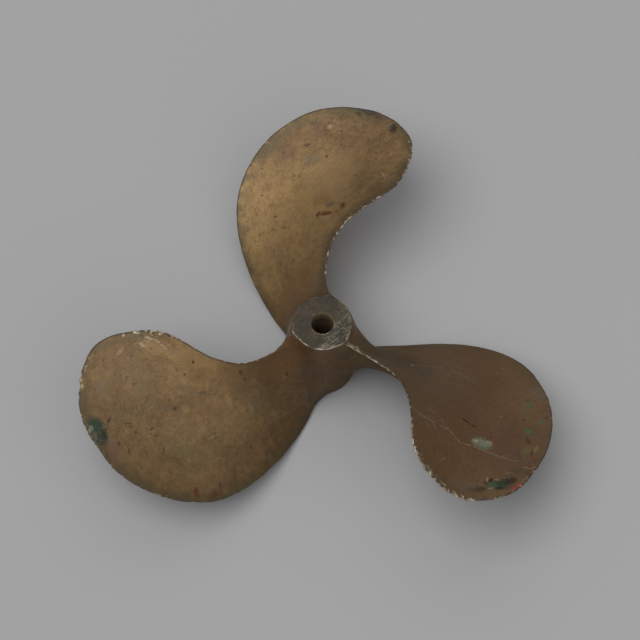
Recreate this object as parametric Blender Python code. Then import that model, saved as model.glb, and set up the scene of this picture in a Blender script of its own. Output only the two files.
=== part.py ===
# Three-bladed left-hand boat propeller, one bronze casting, lying on the forward end of its hub.
# Metres, +Z along the shaft axis and pointing aft; the origin is the shaft axis at the hub's forward end.

import math

import bmesh
import bpy
import numpy as np

# Blades
BLADE_COUNT = 3
TIP_RADIUS = 0.250
FIRST_BLADE_ANGLE = math.radians(90)
EMBEDDED_RADIUS = 0.020  # the blades run this deep into the hub's wall

# Hub, a barrel that narrows aft: height over the forward end, and radius
HUB_LENGTH = 0.105
HUB_STATIONS = ((0.000, 0.0325), (0.040, 0.0345), (0.080, 0.0330), (0.105, 0.0280))
HUB_WIDEST = 0.0345
FACING_STOCK = 0.006  # turned off both ends once the blades are on
BORE_AFT_RADIUS = 0.0110
BORE_TAPER = 1 / 16  # on the diameter, widening forward

# Blade outline, as a propeller drawing gives it: share of the tip radius, half breadth along the arc,
# and the angle of the middle of the blade, clockwise as seen from aft
OUTLINE_STATIONS = (
    (0.16, 0.0200, -30.5),
    (0.28, 0.0292, -27.0),
    (0.40, 0.0417, -22.4),
    (0.52, 0.0620, -15.1),
    (0.64, 0.0818, -8.9),
    (0.76, 0.0892, -5.8),
    (0.88, 0.0807, -2.7),
)
TIP_ANGLE = -0.6

# Driving face: pitch and the height of the blade's reference line above the hub's forward end
PITCH_STATIONS = ((0.15, 0.530), (0.30, 0.645), (0.55, 0.590), (1.00, 0.302))
HEIGHT_STATIONS = ((0.15, 0.0950), (0.45, 0.0905), (0.75, 0.0810), (1.00, 0.0870))

# Thickness, on the forward side of the driving face
ROOT_THICKNESS = 0.0200
TIP_THICKNESS = 0.0030
EDGE_THICKNESS = 0.0020
SECTION_FULLNESS = 0.85  # exponent of the section: 1 is a parabola, less is fuller near the edges

# Root fillet
FILLET_RADIUS = 0.018
FILLET_REACH = 0.75  # how far the flare follows the quarter round before it meets the hub
FACE_SWELL = 0.6  # the radius grows by this share at mid breadth of the driving face
TRAILING_SHARE = 0.5  # of the flare that is left on the driving face at the trailing edge

# Mesh fineness
ROWS = 24
COLUMNS = 14
FIRST_ROW_RADIUS = 0.0335  # the rows start here, past one that is deep in the hub
ROW_CROWDING = 1.7  # rows gather towards the fillet
FREE_ROW_RADIUS = 0.070  # inside this the rows lean towards the outline of the hub
TIP_CORNER_SHARE = 0.90  # radius share where an edge hands over to the tip arc
HUB_STEPS = 64
HUB_RINGS = 12
BRONZE = (0.23, 0.145, 0.070, 1.0)


def clear_scene():
    for scene_object in list(bpy.data.objects):
        bpy.data.objects.remove(scene_object, do_unlink=True)


def curve_through(stations, values):
    """A natural cubic spline through the values at the stations, straight beyond its ends."""
    x, y = np.array(stations, float), np.array(values, float)
    step = np.diff(x)
    slope = np.diff(y) / step
    count = len(x)
    matrix, right = np.eye(count), np.zeros(count)
    for i in range(1, count - 1):
        matrix[i, i - 1 : i + 2] = step[i - 1], 2 * (step[i - 1] + step[i]), step[i]
        right[i] = 6 * (slope[i] - slope[i - 1])
    bend = np.linalg.solve(matrix, right)

    def value(at):
        i = min(max(int(np.searchsorted(x, at)) - 1, 0), count - 2)
        to_right, from_left = x[i + 1] - at, at - x[i]
        if at < x[0] or at > x[-1]:
            end = 0 if at < x[0] else -1
            lean = slope[end] - step[end] * (bend[1] if end == 0 else -bend[-2]) / 6
            return y[end] + lean * (at - x[end])
        cubic = (bend[i] * to_right**3 + bend[i + 1] * from_left**3) / (6 * step[i])
        left = (y[i] / step[i] - bend[i] * step[i] / 6) * to_right
        return cubic + left + (y[i + 1] / step[i] - bend[i + 1] * step[i] / 6) * from_left

    return value


shares, half_breadths, middle_angles = zip(*OUTLINE_STATIONS)
# The half breadth over the root of what is left to the tip is smooth, and rounds the tip by itself.
breadth_factor = curve_through(
    shares, [h / math.sqrt(1 - s) for s, h in zip(shares, half_breadths)]
)
middle_curve = curve_through(shares + (1.0,), middle_angles + (TIP_ANGLE,))
pitch_curve = curve_through(*zip(*PITCH_STATIONS))
height_curve = curve_through(*zip(*HEIGHT_STATIONS))
hub_radius = curve_through(*zip(*HUB_STATIONS))


def middle_angle(radius):
    """Angle of mid blade, clockwise from the reference line; it holds steady inside the first station."""
    return math.radians(middle_curve(max(radius / TIP_RADIUS, shares[0])))


def half_angle(radius):
    """Half the angle that the blade spans at this radius."""
    outer = max(radius, shares[0] * TIP_RADIUS)
    share = outer / TIP_RADIUS
    return breadth_factor(share) * math.sqrt(max(1 - share, 0)) / outer


def face_height(radius, angle):
    """Height of the driving face over the forward end of the hub."""
    share = radius / TIP_RADIUS
    return height_curve(share) + pitch_curve(share) / (2 * math.pi) * angle


def pitch_angle(radius):
    return math.atan2(pitch_curve(radius / TIP_RADIUS) / (2 * math.pi), radius)


def fillet_flare(gap, fillet_radius):
    """How far a side of the blade swells at this gap over the hub."""
    gap = max(gap, 0)
    if gap >= fillet_radius:
        return 0
    flare = fillet_radius - math.sqrt(fillet_radius**2 - (fillet_radius - gap) ** 2)
    return min(flare, FILLET_REACH * FILLET_RADIUS)


def section_thickness(radius, angle):
    """Thickness of the blade, a flat-faced section that is thickest at mid breadth."""
    half = half_angle(radius)
    across = min(abs(angle - middle_angle(radius)) / half, 1) if half > 1e-6 else 1
    share = radius / TIP_RADIUS
    deepest = ROOT_THICKNESS + (TIP_THICKNESS - ROOT_THICKNESS) * share
    return EDGE_THICKNESS + (deepest - EDGE_THICKNESS) * (1 - across**2) ** SECTION_FULLNESS


def edge_point(radius, side):
    """Planform point (radius, angle) on the leading (-1) or trailing (+1) edge, or between them."""
    return radius, middle_angle(radius) + side * half_angle(radius)


def row_radii():
    """Radii at which the rows leave the edges, from the embedded root to where the tip arc takes over."""
    corner = TIP_CORNER_SHARE * TIP_RADIUS
    shares_out = [(row / (ROWS - 1)) ** ROW_CROWDING for row in range(ROWS)]
    return [EMBEDDED_RADIUS] + [FIRST_ROW_RADIUS + (corner - FIRST_ROW_RADIUS) * s for s in shares_out]


def along_hub(radius, angle):
    """The radius drawn in towards the shaft as much as the barrel of the hub is slimmer here."""
    nearness = (FREE_ROW_RADIUS - radius) / (FREE_ROW_RADIUS - FIRST_ROW_RADIUS)
    slimmer = HUB_WIDEST - hub_radius(face_height(radius, angle))
    return radius - slimmer * min(max(nearness, 0), 1)


def planform(radius, angle):
    """A planform point as flat coordinates, in which points can be averaged."""
    return np.array((radius * math.cos(angle), radius * math.sin(angle)))


def tip_arc(columns):
    """Planform points over the tip, evenly spread by the turn of a round from edge to edge."""
    corner_turn = math.asin(TIP_CORNER_SHARE)
    points = []
    for column in columns:
        turn = math.pi / 2 - abs(column) * (math.pi / 2 - corner_turn)
        points.append(edge_point(TIP_RADIUS * math.sin(turn), math.copysign(1, column)))
    return points


def planform_grid():
    """Rows of (radius, angle) over the blade: a patch between the root, both edges and the tip arc."""
    radii = row_radii()
    columns = [math.sin(math.pi * (column / COLUMNS - 0.5)) for column in range(COLUMNS + 1)]
    root = [edge_point(radii[0], column) for column in columns]
    tip = tip_arc(columns)
    grid = []
    for radius in radii:
        v = (radius - radii[0]) / (radii[-1] - radii[0])
        leading, trailing = edge_point(radius, -1), edge_point(radius, 1)
        row = []
        for column, u in enumerate((c + 1) / 2 for c in columns):
            along = (1 - v) * planform(*root[column]) + v * planform(*tip[column])
            across = (1 - u) * planform(*leading) + u * planform(*trailing)
            inner_ends = (1 - u) * planform(*root[0]) + u * planform(*root[-1])
            outer_ends = (1 - u) * planform(*tip[0]) + u * planform(*tip[-1])
            x, y = along + across - (1 - v) * inner_ends - v * outer_ends
            radius_here, angle_here = math.hypot(x, y), math.atan2(y, x)
            row.append((along_hub(radius_here, angle_here), angle_here))
        grid.append(row)
    return grid


def blade_point(radius, angle, depth, spread, blade_angle):
    """A point of the blade: depth is under the driving face, spread is outwards past its edge."""
    lean = pitch_angle(radius)
    clockwise = spread * math.cos(lean) + depth * math.sin(lean)
    climb = spread * math.sin(lean) - depth * math.cos(lean)
    turned = blade_angle - angle - clockwise / radius
    height = face_height(radius, angle) + climb
    return radius * math.cos(turned), radius * math.sin(turned), height


def blade_layers(blade_angle):
    """Two grids of points: the driving face and the back, both flared at the root."""
    face, back = [], []
    for row in planform_grid():
        face_row, back_row = [], []
        for column, (radius, angle) in enumerate(row):
            across = (math.sin(math.pi * (column / COLUMNS - 0.5)) + 1) / 2
            gap = radius - hub_radius(face_height(radius, angle))
            flare = fillet_flare(gap, FILLET_RADIUS)
            face_flare = fillet_flare(gap, FILLET_RADIUS * (1 + FACE_SWELL * math.sin(math.pi * across)))
            lift = face_flare * (1 - across * (1 - TRAILING_SHARE))
            depth = section_thickness(radius, angle) + flare
            spread = flare * (2 * across - 1)
            face_row.append(blade_point(radius, angle, -lift, spread, blade_angle))
            back_row.append(blade_point(radius, angle, depth, spread, blade_angle))
        face.append(face_row)
        back.append(back_row)
    return face, back


def new_object(name, mesh_data):
    mesh = bpy.data.meshes.new(name)
    bmesh.ops.recalc_face_normals(mesh_data, faces=mesh_data.faces)
    mesh_data.to_mesh(mesh)
    mesh_data.free()
    made = bpy.data.objects.new(name, mesh)
    bpy.context.scene.collection.objects.link(made)
    return made


def make_blade(name, blade_angle):
    """One closed blade whose edges are rounded by a middle line that stands proud of both sides."""
    face, back = blade_layers(blade_angle)
    data = bmesh.new()
    face_grid = [[data.verts.new(point) for point in row] for row in face]
    back_grid = [[data.verts.new(point) for point in row] for row in back]
    for grid in (face_grid, back_grid):
        for lower, upper in zip(grid, grid[1:]):
            for i in range(COLUMNS):
                data.faces.new((lower[i], lower[i + 1], upper[i + 1], upper[i]))
    rim_face, rim_back = around(face_grid), around(back_grid)
    nose = [data.verts.new(rounded_edge(f, b, g)) for f, b, g in zip(rim_face, rim_back, inner_ring(face_grid))]
    for side in (rim_face, rim_back):
        for i, vertex in enumerate(side[:-1]):
            data.faces.new((vertex, side[i + 1], nose[i + 1], nose[i]))
    root_face, root_back = face_grid[0], back_grid[0]
    for i in range(COLUMNS):
        data.faces.new((root_face[i], root_face[i + 1], root_back[i + 1], root_back[i]))
    data.faces.new((nose[0], root_face[0], root_back[0]))
    data.faces.new((nose[-1], root_face[-1], root_back[-1]))
    return new_object(name, data)


def around(grid):
    """The free edge of a grid: up the leading edge, over the tip, and down the trailing edge."""
    leading = [row[0] for row in grid[:-1]]
    trailing = [row[-1] for row in reversed(grid[:-1])]
    return leading + grid[-1] + trailing


def inner_ring(grid):
    """The grid points one step in from the free edge, which say which way is out."""
    leading = [row[1] for row in grid[:-1]]
    trailing = [row[-2] for row in reversed(grid[:-1])]
    return leading + grid[-2] + trailing


def rounded_edge(face_vertex, back_vertex, inner_vertex):
    """Half a thickness outwards from the middle of the edge."""
    middle = (face_vertex.co + back_vertex.co) / 2
    thickness = (face_vertex.co - back_vertex.co).length
    outwards = (face_vertex.co - inner_vertex.co).normalized()
    return middle + outwards * min(thickness, EDGE_THICKNESS) / 2


def bore_radius(height):
    return BORE_AFT_RADIUS + (HUB_LENGTH - height) * BORE_TAPER / 2


def hub_blank(name):
    """The hub before machining: a solid barrel with stock at both ends."""
    data = bmesh.new()
    heights = np.linspace(-FACING_STOCK, HUB_LENGTH + FACING_STOCK, HUB_RINGS)
    rings = [turned_ring(data, hub_radius(height), height, 0) for height in heights]
    join_rings(data, rings)
    for ring in (rings[0], rings[-1]):
        data.faces.new(ring)
    return new_object(name, data)


def turned_ring(data, radius, height, steps_on):
    angles = [2 * math.pi * (step + steps_on) / HUB_STEPS for step in range(HUB_STEPS)]
    return [data.verts.new((radius * math.cos(a), radius * math.sin(a), height)) for a in angles]


def join_rings(data, rings):
    for ring, following in zip(rings, rings[1:]):
        for i in range(HUB_STEPS):
            j = (i + 1) % HUB_STEPS
            data.faces.new((ring[i], ring[j], following[j], following[i]))


def machining_envelope(name):
    """What the lathe leaves: the taper bore, the two hub faces, and all the room for the blades.

    Its steps sit between those of the hub, so that no two edges fall on one line.
    """
    reach = HUB_WIDEST + FILLET_RADIUS
    wide, tall = TIP_RADIUS * 1.1, HUB_LENGTH
    profile = (
        (bore_radius(0), 0),
        (reach, 0),
        (reach, -tall),
        (wide, -tall),
        (wide, HUB_LENGTH + tall),
        (reach, HUB_LENGTH + tall),
        (reach, HUB_LENGTH),
        (bore_radius(HUB_LENGTH), HUB_LENGTH),
    )
    data = bmesh.new()
    rings = [turned_ring(data, radius, height, 0.5) for radius, height in profile]
    join_rings(data, rings + rings[:1])
    return new_object(name, data)


def apply_boolean(target, other, operation):
    modifier = target.modifiers.new(other.name, "BOOLEAN")
    modifier.operation = operation
    modifier.solver = "EXACT"
    modifier.object = other
    bpy.context.view_layer.update()
    graph = bpy.context.evaluated_depsgraph_get()
    result = bpy.data.meshes.new_from_object(target.evaluated_get(graph))
    target.modifiers.clear()
    target.data = result
    bpy.data.objects.remove(other, do_unlink=True)


def bronze():
    material = bpy.data.materials.new("cast_bronze")
    material.use_nodes = True
    shader = material.node_tree.nodes["Principled BSDF"]
    shader.inputs["Base Color"].default_value = BRONZE
    shader.inputs["Metallic"].default_value = 1.0
    shader.inputs["Roughness"].default_value = 0.45
    return material


def make_propeller():
    propeller = hub_blank("propeller_casting")
    for number in range(BLADE_COUNT):
        angle = FIRST_BLADE_ANGLE + number * 2 * math.pi / BLADE_COUNT
        apply_boolean(propeller, make_blade(f"blade_{number + 1}", angle), "UNION")
    apply_boolean(propeller, machining_envelope("machining"), "INTERSECT")
    propeller.data.materials.clear()
    propeller.data.materials.append(bronze())
    propeller.data.shade_smooth()
    propeller.data.set_sharp_from_angle(angle=math.radians(35))
    return propeller


clear_scene()
make_propeller()
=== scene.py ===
import math

import bmesh
import bpy
import numpy as np
from mathutils import Matrix, Vector, noise
from mathutils.kdtree import KDTree


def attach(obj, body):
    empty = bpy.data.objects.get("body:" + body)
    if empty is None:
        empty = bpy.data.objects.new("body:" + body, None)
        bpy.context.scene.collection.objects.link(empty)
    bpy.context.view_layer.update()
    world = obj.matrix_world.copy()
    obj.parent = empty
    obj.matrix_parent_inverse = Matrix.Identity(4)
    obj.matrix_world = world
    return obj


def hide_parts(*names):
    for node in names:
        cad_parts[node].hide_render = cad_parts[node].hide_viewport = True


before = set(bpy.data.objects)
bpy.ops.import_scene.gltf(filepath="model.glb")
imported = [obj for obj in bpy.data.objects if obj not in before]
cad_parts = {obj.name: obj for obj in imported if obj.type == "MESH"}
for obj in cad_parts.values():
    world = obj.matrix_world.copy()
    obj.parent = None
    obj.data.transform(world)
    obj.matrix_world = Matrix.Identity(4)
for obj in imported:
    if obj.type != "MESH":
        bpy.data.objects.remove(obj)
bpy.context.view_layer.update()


class Wire:
    # an output socket that sums can be written on
    def __init__(self, sheet, socket):
        self.sheet, self.socket = sheet, socket

    def __add__(self, other):
        return self.sheet.calc("ADD", self, other)

    def __sub__(self, other):
        return self.sheet.calc("SUBTRACT", self, other)

    def __rsub__(self, other):
        return self.sheet.calc("SUBTRACT", other, self)

    def __mul__(self, other):
        return self.sheet.calc("MULTIPLY", self, other)

    def __truediv__(self, other):
        return self.sheet.calc("DIVIDE", self, other)

    def __pow__(self, other):
        return self.sheet.calc("POWER", self, other)

    __radd__, __rmul__ = __add__, __mul__  # the same both ways round


class Step:
    # a node whose outputs are read by name or number
    def __init__(self, sheet, made):
        self.sheet, self.made = sheet, made

    def __getitem__(self, name):
        return Wire(self.sheet, findSocket(self.made.outputs, name))


def findSocket(sockets, name):
    # by number, by identifier or by the name that is shown
    if isinstance(name, int):
        return sockets[name]
    for socket in sockets:
        if socket.identifier == name:
            return socket
    return next(s for s in sockets if s.name == name and s.enabled)


class Sheet:
    # a node tree that is filled in from the script
    def __init__(self, tree):
        self.tree = tree

    def node(self, kind, settings=None, values=None):
        made = self.tree.nodes.new(kind)
        for name, value in (settings or {}).items():
            if name == "stops":  # of a colour ramp: (place, colour)
                ramp = made.color_ramp
                while len(ramp.elements) < len(value):
                    ramp.elements.new(1.0)
                for element, (place, colour) in zip(ramp.elements, value):
                    element.position, element.color = place, colour
            elif name == "curve":  # of a float curve: (x, y)
                points = made.mapping.curves[0].points
                while len(points) < len(value):
                    points.new(0.5, 0.5)
                for point, place in zip(points, value):
                    point.location = place
                made.mapping.update()
            else:
                setattr(made, name, value)
        for name, value in (values or {}).items():
            socket = findSocket(made.inputs, name)
            if isinstance(value, Wire):
                self.tree.links.new(value.socket, socket)
            else:
                socket.default_value = value
        return Step(self, made)

    def calc(self, operation, *values):
        return self.node("ShaderNodeMath", {"operation": operation}, dict(enumerate(values)))["Value"]

    def most(self, first, *others):
        # the greatest of them all
        for other in others:
            first = self.calc("MAXIMUM", first, other)
        return first

    def rise(self, value, low, high):
        # 0 at low and 1 at high with a soft run between them; low may be the greater one
        if low > high:
            return 1 - self.rise(value, high, low)
        return self.node(
            "ShaderNodeMapRange",
            {"interpolation_type": "SMOOTHSTEP"},
            {"Value": value, "From Min": low, "From Max": high},
        )["Result"]

    def mixColour(self, factor, first, second):
        return self.node(
            "ShaderNodeMix",
            {"data_type": "RGBA"},
            {"Factor_Float": factor, "A_Color": first, "B_Color": second},
        )["Result_Color"]


# the node tree's own inputs
bladeSizes = {
    "Tip Radius": 0.250,
    "Blade Count": 3,
    "First Blade Angle": math.radians(90),
    "Root Thickness": 0.0200,
    "Tip Thickness": 0.0030,
    "Edge Thickness": 0.0020,
    "Section Fullness": 0.85,
    "Fillet Radius": 0.0180,
    "Face Swell": 1.0,
    "Trailing Share": 0.75,
    "Trailing Swell": 1.3,
    "Ridge Width": 0.40,
}
bladeShape = {
    # share of the tip radius, half breadth along the arc, angle of mid blade in degrees clockwise
    "outline": (
        (0.16, 0.0200, -30.5), (0.28, 0.0292, -27.0), (0.40, 0.0417, -22.4), (0.52, 0.0620, -15.1),
        (0.64, 0.0818, -8.9), (0.76, 0.0892, -5.8), (0.88, 0.0807, -2.7),
    ),
    "tipAngle": -0.6,
    # share of the tip radius, pitch or height of the driving face
    "pitch": ((0.15, 0.530), (0.30, 0.645), (0.55, 0.590), (1.00, 0.302)),
    "height": ((0.15, 0.0950), (0.45, 0.0905), (0.75, 0.0810), (1.00, 0.0870)),
    "pitchScale": 0.8,  # full scale of the curves in the node tree
    "heightScale": 0.12,
    "rootRow": 0.020,  # where the blades end, inside the hub
    "innerRows": (0.0225, 0.025, 0.0275, 0.030, 0.032),
    "firstFreeRow": 0.0335,
    "straightRow": 0.070,  # inside this the rows lean towards the hub's outline
    "tipCorner": 0.90,
    "rows": 104,
    "rowCrowding": (1.6, 1.55),  # at the root fillet and at the tip
    "columns": 92,
    "edgeRun": 0.012,  # from the edge to where a section has its full thickness
    "filletRun": 0.030,  # the fillets follow the barrel up to here
    "ridgeRun": (0.015, 0.003),
    "flareLimit": 0.97,
    "weld": 2e-6,
}
edgeWear = {
    "centre": (0.164, -0.017),  # of the pattern, where places round the blade are counted from
    "proud": 0.0009,  # the rounded edge stands this far outside the drawn outline
    "roughness": 0.00035,
    "bumps": 90,  # to the metre
    "soundRadius": 0.075,  # the edges are sound inside this
    "soundRun": 0.02,
    # blade, place round the blade in degrees, width in degrees, depth
    "nicks": (
        (1, 95, 2.2, 0.0014), (1, 101, 1.6, 0.0009), (1, 88, 2.4, 0.0010), (1, 108, 2.0, 0.0011),
        (1, 116, 2.5, 0.0012), (1, 123, 1.8, 0.0010), (1, 80, 1.5, 0.0007), (1, 68, 1.8, 0.0009),
        (2, 98, 2.6, 0.0016), (2, 103, 1.5, 0.0009), (2, 37, 3.2, 0.0018), (2, 31, 1.6, 0.0010),
        (2, 44, 1.5, 0.0008), (2, 10, 2.0, 0.0008), (2, -78, 1.6, 0.0007), (3, 96, 2.0, 0.0013),
        (3, 90, 1.7, 0.0015), (3, 84, 1.6, 0.0012), (3, 79, 2.0, 0.0015), (3, 73, 1.6, 0.0011),
        (3, 67, 2.2, 0.0012), (3, 58, 1.6, 0.0008), (3, 40, 2.0, 0.0007), (3, 102, 1.8, 0.0008),
    ),
    # the same for the broad unevenness of this casting's outline; below 0 it stands out
    "uneven": (
        (1, -10, 14, -0.0008), (1, 18, 12, 0.0006), (1, 84, 22, 0.0010), (1, 146, 10, 0.0010),
        (2, -126, 34, 0.0012), (2, -4, 16, 0.0018), (2, 62, 12, -0.0012), (2, 94, 20, 0.0018),
        (2, 164, 16, -0.0010), (3, -160, 20, 0.0008), (3, -60, 10, 0.0008), (3, 30, 18, -0.0022),
        (3, 110, 34, -0.0020), (3, 152, 24, -0.0016),
    ),
}
hubSizes = {
    "length": 0.105,
    # height over the forward end, radius
    "barrel": ((0.000, 0.0325), (0.040, 0.0350), (0.080, 0.0340), (0.105, 0.0290)),
    "barrelSpan": (-0.02, 0.13),  # heights that the barrel's curve in the node tree covers
    "barrelScale": 0.05,
    "widest": 0.0350,
    "stock": 0.006,  # cut off both ends
    "boreAftRadius": 0.0110,
    "boreTaper": 1 / 16,
    "boreChamfer": 0.0009,
    "boreRings": 14,
    "rimRound": 0.0012,
    "rimSteps": (1.0, 0.75, 0.5, 0.3, 0.12),
    "faceBands": (0.0006, 0.0008, 0.0016),  # widths of the level bands beside both rims
    "steps": 144,
    "rings": 40,
    "reach": 0.0525,  # how far out the lathe faces the ends
}
seamWork = {
    "reach": 0.060,  # from the shaft axis
    "crease": math.radians(9),
    "width": 0.004,
    "rounds": 14,
    "endMargin": 0.001,
}


def naturalCurve(stations):
    # a natural cubic spline through (place, value), straight beyond its ends
    x, y = (np.array(column, float) for column in zip(*stations))
    step, count = np.diff(x), len(x)
    slope = np.diff(y) / step
    matrix, right = np.eye(count), np.zeros(count)
    for i in range(1, count - 1):
        matrix[i, i - 1 : i + 2] = step[i - 1], 2 * (step[i - 1] + step[i]), step[i]
        right[i] = 6 * (slope[i] - slope[i - 1])
    bend = np.linalg.solve(matrix, right)
    low = slope[0] - step[0] * bend[1] / 6
    high = slope[-1] + step[-1] * bend[-2] / 6

    def value(at):
        at = np.asarray(at, float)
        i = np.clip(np.searchsorted(x, at) - 1, 0, count - 2)
        inside = np.clip(at, x[0], x[-1])
        ahead, behind, h = x[i + 1] - inside, inside - x[i], step[i]
        found = (bend[i] * ahead**3 + bend[i + 1] * behind**3) / (6 * h)
        found += (y[i] / h - bend[i] * h / 6) * ahead
        found += (y[i + 1] / h - bend[i + 1] * h / 6) * behind
        return found + low * np.minimum(at - x[0], 0) + high * np.maximum(at - x[-1], 0)

    return value


outline = bladeShape["outline"]
tipRadius = bladeSizes["Tip Radius"]
firstShare = outline[0][0]
breadthCurve = naturalCurve([(s, h / math.sqrt(1 - s)) for s, h, _ in outline])
middleCurve = naturalCurve([(s, a) for s, _, a in outline] + [(1.0, bladeShape["tipAngle"])])
pitchCurve = naturalCurve(bladeShape["pitch"])
heightCurve = naturalCurve(bladeShape["height"])
hubCurve = naturalCurve(hubSizes["barrel"])


def middleAngle(radius):
    return np.radians(middleCurve(np.maximum(radius / tipRadius, firstShare)))


def halfAngle(radius):
    outer = np.maximum(radius, firstShare * tipRadius)
    share = outer / tipRadius
    return breadthCurve(share) * np.sqrt(np.maximum(1 - share, 0)) / outer


def faceHeight(radius, angle):
    share = radius / tipRadius
    return heightCurve(share) + pitchCurve(share) / (2 * math.pi) * angle


def flatPoint(radius, angle):
    return np.stack((radius * np.cos(angle), radius * np.sin(angle)), -1)


def edgePlace(radius, side):
    # a flat point of the pattern on the leading (-1) or trailing (+1) edge, or between them
    return flatPoint(radius, middleAngle(radius) + side * halfAngle(radius))


def wornEdge(points, bladeNumber):
    # the outline drawn in by wear and nicks
    centre, bumps = np.array(edgeWear["centre"]), edgeWear["bumps"]
    inward = centre - points
    inward /= np.linalg.norm(inward, axis=-1, keepdims=True)
    depth = np.zeros(len(points))
    for i, (x, y) in enumerate(points):
        around = math.degrees(math.atan2(y - centre[1], x - centre[0]))
        spot = Vector((x * bumps, y * bumps, bladeNumber * 7.3))  # each blade has its own bumps
        depth[i] = edgeWear["roughness"] * max(noise.fractal(spot, 0.7, 2.0, 4) + 0.25, -0.15)
        for blade, place, width, deep in edgeWear["nicks"] + edgeWear["uneven"]:
            if blade == bladeNumber:
                off = abs((around - place + 180) % 360 - 180) / width
                depth[i] += deep * max(0, 1 - off**1.5)
        beyond = (math.hypot(x, y) - edgeWear["soundRadius"]) / edgeWear["soundRun"]
        depth[i] *= min(max(beyond, 0), 1)
        depth[i] -= edgeWear["proud"]
    return points + inward * depth[:, None]


def rowRadii():
    first, last = bladeShape["firstFreeRow"], bladeShape["tipCorner"] * tipRadius
    atRoot, atTip = bladeShape["rowCrowding"]
    spread = 1 - (1 - np.linspace(0, 1, bladeShape["rows"]) ** atRoot) ** atTip
    return np.array([bladeShape["rootRow"], *bladeShape["innerRows"], *(first + (last - first) * spread)])


def bladePattern(bladeNumber):
    # rows of flat points between the root, both edges and the tip arc
    radii = rowRadii()
    columns = np.sin(math.pi * (np.arange(bladeShape["columns"] + 1) / bladeShape["columns"] - 0.5))
    side = np.where(columns < 0, -1, 1)
    cornerTurn = math.asin(bladeShape["tipCorner"])
    turn = math.pi / 2 - np.abs(columns) * (math.pi / 2 - cornerTurn)
    tip = wornEdge(edgePlace(tipRadius * np.sin(turn), side), bladeNumber)
    root = edgePlace(np.full_like(columns, radii[0]), columns)
    leading = wornEdge(edgePlace(radii, -1), bladeNumber)
    trailing = wornEdge(edgePlace(radii, 1), bladeNumber)
    v = ((radii - radii[0]) / (radii[-1] - radii[0]))[:, None, None]
    u = ((columns + 1) / 2)[None, :, None]
    grid = (1 - v) * root[None] + v * tip[None]
    grid += (1 - u) * leading[:, None] + u * trailing[:, None]
    grid -= (1 - v) * ((1 - u) * root[0] + u * root[-1]) + v * ((1 - u) * tip[0] + u * tip[-1])
    radius, angle = np.hypot(grid[..., 0], grid[..., 1]), np.arctan2(grid[..., 1], grid[..., 0])
    free, straight = bladeShape["firstFreeRow"], bladeShape["straightRow"]
    nearness = np.clip((straight - radius) / (straight - free), 0, 1)
    radius = radius - (hubSizes["widest"] - hubCurve(faceHeight(radius, angle))) * nearness
    chord = (angle - middleAngle(radius)) / np.maximum(halfAngle(radius), 1e-5)
    chord[:, 0], chord[:, -1], chord[-1] = -1, 1, side
    return radius, angle, np.clip(chord, -1, 1)


def writeField(mesh, name, values, kind="FLOAT", key="value"):
    mesh.attributes.new(name, kind, "POINT").data.foreach_set(key, values)


def readField(mesh, name):
    values = np.zeros(len(mesh.vertices), np.float32)
    mesh.attributes[name].data.foreach_get("value", values)
    return values


def readPlaces(mesh):
    places = np.zeros(len(mesh.vertices) * 3, np.float32)
    mesh.vertices.foreach_get("co", places)
    return places.reshape(-1, 3)


def patternMesh():
    # the flat pattern of every blade, with what the node tree needs as attributes
    points, faces = [], []
    fields = {"chord": [], "bladeIndex": [], "rootRow": []}
    for index in range(bladeSizes["Blade Count"]):
        radius, angle, chord = bladePattern(index + 1)
        rows, columns = radius.shape
        start, count = len(points), radius.size
        flat = flatPoint(radius, angle).reshape(-1, 2)
        points += np.column_stack((flat, np.zeros(count))).tolist()
        fields["chord"] += chord.ravel().tolist()
        fields["bladeIndex"] += [index] * count
        fields["rootRow"] += [1.0] * columns + [0.0] * (count - columns)
        corner = (start + np.arange(count).reshape(rows, columns))[:-1, :-1].ravel()
        faces += np.column_stack((corner, corner + 1, corner + 1 + columns, corner + columns)).tolist()
    mesh = bpy.data.meshes.new("blade_pattern")
    mesh.from_pydata(points, [], faces)
    for name, values in fields.items():
        writeField(mesh, name, values)
    return mesh


def sampled(curve, low, high, scale):
    # the curve as points of a Float Curve node, both ways from 0 to 1
    places = np.linspace(0, 1, 33)
    return [(float(t), float(curve(low + (high - low) * t) / scale)) for t in places]


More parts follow.
